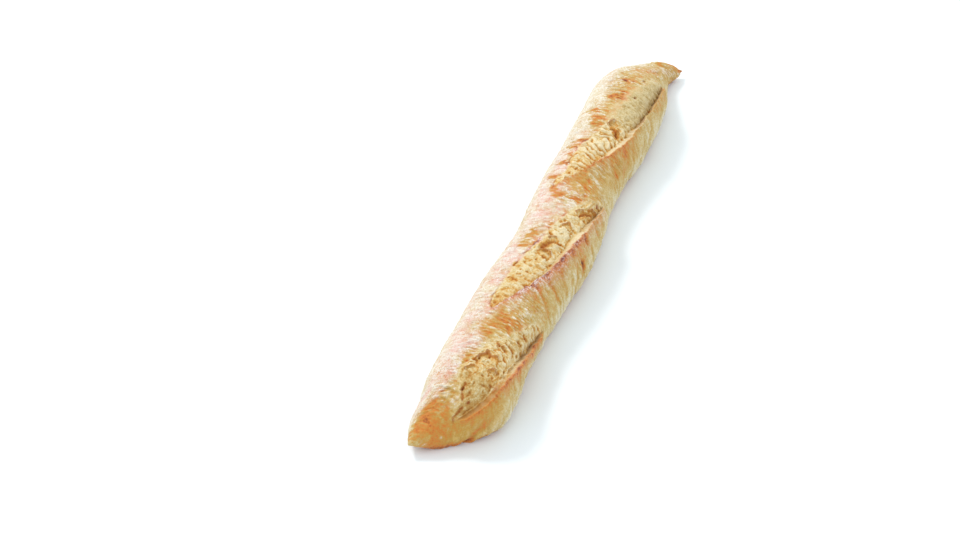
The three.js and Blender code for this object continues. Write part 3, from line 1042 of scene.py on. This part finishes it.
def bread_material():
    material = bpy.data.materials.new("bread")
    nodes = Nodes(material)
    shader = nodes.shader.inputs
    position = nodes.position()
    grain = nodes.noise(GRAIN, position)
    streaks = nodes.noise(STREAKS, nodes.scaled(position, STREAK_STRETCH))
    crust = dusted(nodes, crust_colour(nodes, grain, streaks), position)
    colour = nodes.mix(nodes.mask("crumb"), crust, crumb_colour(nodes, grain))
    # Browned crumb with painted shade in holes and slits, and painted shade in the gap under the lips.
    for name, stain_and_shade in (("scorch_and_shade", SCORCH_AND_SHADE), ("painted_crevice_shade", PAINTED_CREVICE_SHADE)):
        cover = nodes.math("MULTIPLY", nodes.mask(name), STAIN_AND_SHADE_COVER)
        colour = nodes.mix(cover, colour, linear(*stain_and_shade))
    nodes.link(colour, shader["Base Color"])
    crust_rough = nodes.ramp(nodes.mask("bake_and_shade"), (0.2, grey(0.7)), (0.8, grey(0.45)))
    nodes.link(nodes.mix(nodes.mask("crumb"), crust_rough, grey(0.8)), shader["Roughness"])
    shader["Specular IOR Level"].default_value = 0.35
    shader["Sheen Weight"].default_value = 0.1
    shader["Sheen Roughness"].default_value = 0.4
    bump = nodes.tree.nodes.new("ShaderNodeBump")
    bump.inputs["Strength"].default_value = BUMP_STRENGTH
    bump.inputs["Distance"].default_value = BUMP_DISTANCE
    nodes.link(nodes.math("ADD", grain, streaks), bump.inputs["Height"])
    nodes.link(bump.outputs["Normal"], shader["Normal"])
    return material


def floor_material():
    material = bpy.data.materials.new("white floor")
    nodes = Nodes(material)
    nodes.shader.inputs["Base Color"].default_value = linear(*FLOOR)
    nodes.shader.inputs["Roughness"].default_value = 0.6
    nodes.shader.inputs["Specular IOR Level"].default_value = 0.2
    return material


# ---------------- stage, light and camera
# Places are in metres and angles in degrees. The azimuth is that of the view, from +X towards +Y.
FLOOR_HALF = 6.0
SKY_COLOUR = (0.925, 0.97, 1.0, 1.0)
SKY_STRENGTH = 1.16
WINDOW_PLACE = (0.65, 1.65, 2.35)
WINDOW_SIZE = 0.8
WINDOW_POWER = 35.0
WINDOW_COLOUR = (1.0, 0.985, 0.965)
CAMERA_AZIMUTH = 20.34
CAMERA_ELEVATION = 40.27
CAMERA_ROLL = 0.51
CAMERA_DISTANCE = 1.972
CAMERA_TARGET = (-0.050, 0.0532, 0.0)
LENS = 90
SENSOR_WIDTH = 36


def build_floor():
    mesh = bpy.data.meshes.new("floor")
    around = ((-1, -1), (1, -1), (1, 1), (-1, 1))
    mesh.from_pydata([(x * FLOOR_HALF, y * FLOOR_HALF, 0) for x, y in around], [], [(0, 1, 2, 3)])
    mesh.materials.append(floor_material())
    floor = bpy.data.objects.new("floor", mesh)
    bpy.context.collection.objects.link(floor)


def aim(place, target, roll=0.0):
    """A matrix at place whose -Z looks at target, rolled by an angle in degrees."""
    forward = (Vector(target) - Vector(place)).normalized()
    right = forward.cross(Vector((0, 0, 1))).normalized()
    up = right.cross(forward)
    turn = math.radians(roll)
    rolled_right = math.cos(turn) * right + math.sin(turn) * up
    rolled_up = math.cos(turn) * up - math.sin(turn) * right
    matrix = Matrix((rolled_right, rolled_up, -forward)).transposed().to_4x4()
    matrix.translation = Vector(place)
    return matrix


def build_sky():
    world = bpy.context.scene.world or bpy.data.worlds.new("studio")
    bpy.context.scene.world = world
    world.use_nodes = True
    background = world.node_tree.nodes["Background"]
    background.inputs["Color"].default_value = SKY_COLOUR
    background.inputs["Strength"].default_value = SKY_STRENGTH


def build_window():
    data = bpy.data.lights.new("window", "AREA")
    data.shape = "DISK"
    data.size = WINDOW_SIZE
    data.energy = WINDOW_POWER
    data.color = WINDOW_COLOUR
    window = bpy.data.objects.new("window", data)
    window.matrix_world = aim(WINDOW_PLACE, (0, 0, 0))
    bpy.context.collection.objects.link(window)


def build_camera():
    azimuth = math.radians(CAMERA_AZIMUTH)
    elevation = math.radians(CAMERA_ELEVATION)
    target = Vector(CAMERA_TARGET)
    forward = Vector((
        math.cos(elevation) * math.cos(azimuth),
        math.cos(elevation) * math.sin(azimuth),
        -math.sin(elevation),
    ))
    data = bpy.data.cameras.new("camera")
    data.lens = LENS
    data.sensor_width = SENSOR_WIDTH
    camera = bpy.data.objects.new("camera", data)
    camera.matrix_world = aim(target - forward * CAMERA_DISTANCE, target, CAMERA_ROLL)
    bpy.context.collection.objects.link(camera)
    bpy.context.scene.camera = camera


def main():
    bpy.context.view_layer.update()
    loaf = build_loaf()
    loaf.data.materials.append(bread_material())
    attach(loaf, "root")
    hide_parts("loaf")
    build_floor()
    build_sky()
    build_window()
    build_camera()
    view = bpy.context.scene.view_settings
    view.view_transform = "Standard"


main()
